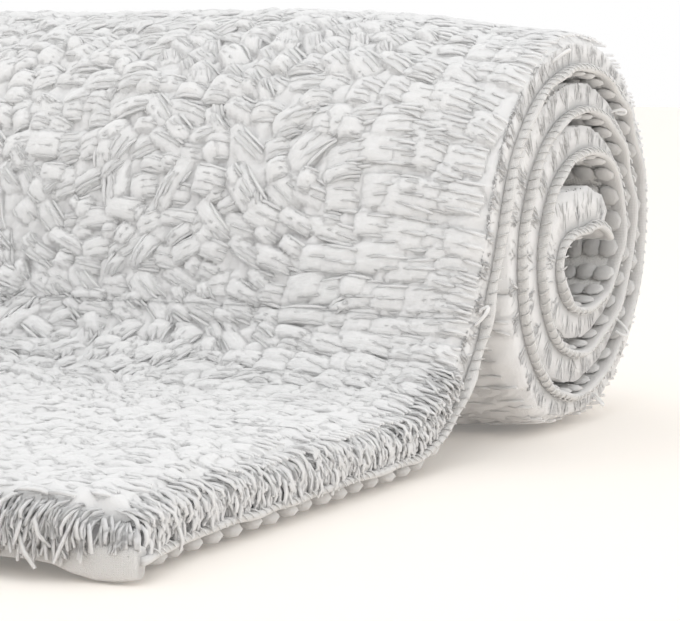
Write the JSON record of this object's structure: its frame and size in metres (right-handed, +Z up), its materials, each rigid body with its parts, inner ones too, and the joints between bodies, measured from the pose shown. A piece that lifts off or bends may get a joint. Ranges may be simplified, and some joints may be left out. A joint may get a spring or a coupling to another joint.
{
  "type": "bath mat",
  "caption": "White tufted cotton bath mat, part rolled: a loose spiral roll with a free flap lying flat in front of it.",
  "frame": {"origin": "middle of the footprint, on the floor that the mat lies on", "axes": "+X along the roll's axis towards its near end, +Y from the flap to the roll, +Z up"},
  "size_m": [0.61, 0.3276, 0.1184],
  "materials": {
    "cotton_pile": "soft twisted cotton yarn, matt",
    "back_stitches": "flattened cotton loops, matt",
    "ground_cloth": "plain woven cotton, matt",
    "hem_cloth": "folded woven cotton, matt",
    "hem_thread": "sewing thread, slight sheen"
  },
  "bodies": {
    "roll": {"ground_cloth_roll": "ground_cloth", "side_hem_near_roll": "hem_cloth", "side_hem_far_roll": "hem_cloth", "hem_thread_near_roll": "hem_thread", "hem_thread_far_roll": "hem_thread", "end_hem_core": "hem_cloth", "end_hem_thread_core": "hem_thread", "back_stitches_foot": "back_stitches", "back_stitches_roll": "back_stitches", "pile_foot": "cotton_pile", "pile_front": "cotton_pile", "pile_top": "cotton_pile", "pile_rear": "cotton_pile", "pile_underside": "cotton_pile", "pile_second_turn": "cotton_pile", "pile_third_turn": "cotton_pile", "pile_core": "cotton_pile"},
    "flap": {"ground_cloth_flap": "ground_cloth", "side_hem_near_flap": "hem_cloth", "side_hem_far_flap": "hem_cloth", "hem_thread_near_flap": "hem_thread", "hem_thread_far_flap": "hem_thread", "pile_flap": "cotton_pile", "back_stitches_flap": "back_stitches"},
    "flap_tip": {"ground_cloth_tip": "ground_cloth", "side_hem_near_tip": "hem_cloth", "side_hem_far_tip": "hem_cloth", "hem_thread_near_tip": "hem_thread", "hem_thread_far_tip": "hem_thread", "pile_tip": "cotton_pile", "back_stitches_tip": "back_stitches", "end_hem_free": "hem_cloth", "end_hem_thread_free": "hem_thread"}
  },
  "joints": [
    {"name": "flap_lift", "type": "hinge", "parent": "roll", "child": "flap", "pos_m": [0, -0.0238, 0.00505], "axis": [-1, 0, 0], "range_deg": [0, 45]},
    {"name": "tip_lift", "type": "hinge", "parent": "flap", "child": "flap_tip", "pos_m": [0, -0.0938, 0.00505], "axis": [-1, 0, 0], "range_deg": [0, 60]}
  ]
}
